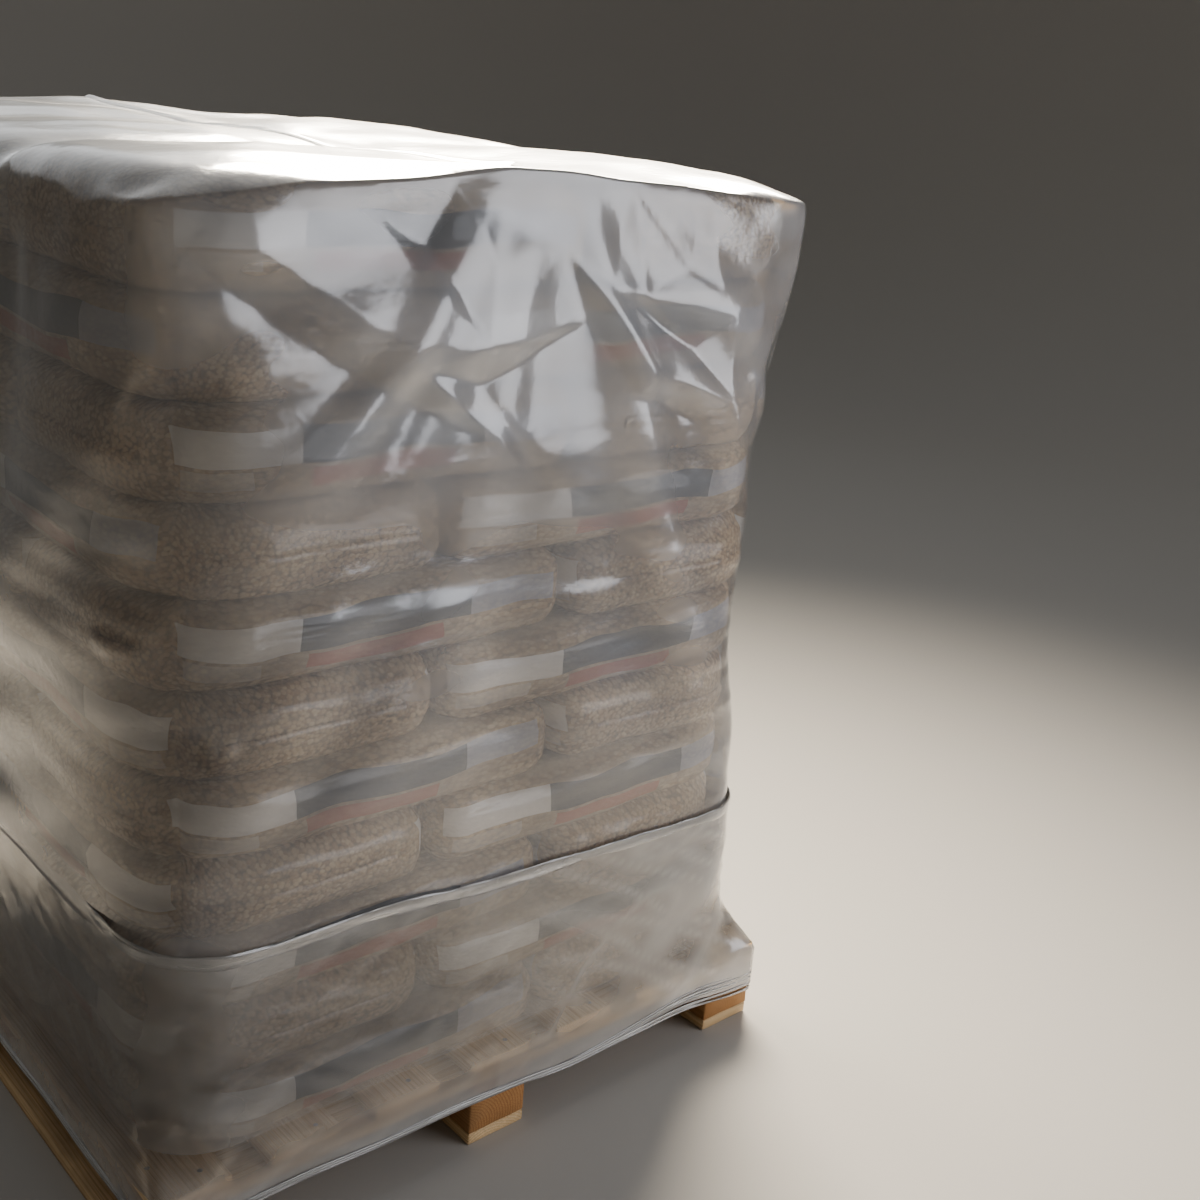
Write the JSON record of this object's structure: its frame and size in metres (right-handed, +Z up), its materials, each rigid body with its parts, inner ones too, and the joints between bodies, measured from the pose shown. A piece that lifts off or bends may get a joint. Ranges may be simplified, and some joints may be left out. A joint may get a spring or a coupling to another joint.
{
  "type": "pallet of sacks",
  "caption": "Wooden block pallet carrying interlocked layers of clear pellet sacks under a loose film hood, with stretch wrap round the foot of the load.",
  "frame": {"origin": "on the ground under the middle of the pallet", "axes": "+X to the right along the pallet's 1000 mm front, +Y from front to back along its 1200 mm depth, +Z up"},
  "size_m": [1.0034, 1.2034, 1.3002],
  "materials": {
    "board_wood": "rough sawn",
    "block_wood": "rough sawn",
    "pellet_sack": "clear film over packed wood pellets, with plain printed bands",
    "hood_film": "loose clear film, creased",
    "wrap_film": "tight clear stretch film"
  },
  "bodies": {
    "root": {"skid_left": "board_wood", "block_left_front": "block_wood", "block_left_middle": "block_wood", "block_left_back": "block_wood", "skid_middle": "board_wood", "block_middle_front": "block_wood", "block_middle_middle": "block_wood", "block_middle_back": "block_wood", "skid_right": "board_wood", "block_right_front": "block_wood", "block_right_middle": "block_wood", "block_right_back": "block_wood", "stringer_front": "board_wood", "stringer_middle": "board_wood", "stringer_back": "board_wood", "deck_board_1": "board_wood", "deck_board_2": "board_wood", "deck_board_3": "board_wood", "deck_board_4": "board_wood", "deck_board_5": "board_wood", "deck_board_6": "board_wood", "deck_board_7": "board_wood", "sack_layer_1": "pellet_sack", "sack_layer_2": "pellet_sack", "sack_layer_3": "pellet_sack", "sack_layer_4": "pellet_sack", "sack_layer_5": "pellet_sack", "sack_layer_6": "pellet_sack", "sack_layer_7": "pellet_sack", "sack_layer_8": "pellet_sack", "sack_layer_9": "pellet_sack", "sack_layer_10": "pellet_sack", "sack_layer_11": "pellet_sack", "hood": "hood_film", "stretch_wrap": "wrap_film"}
  },
  "joints": []
}
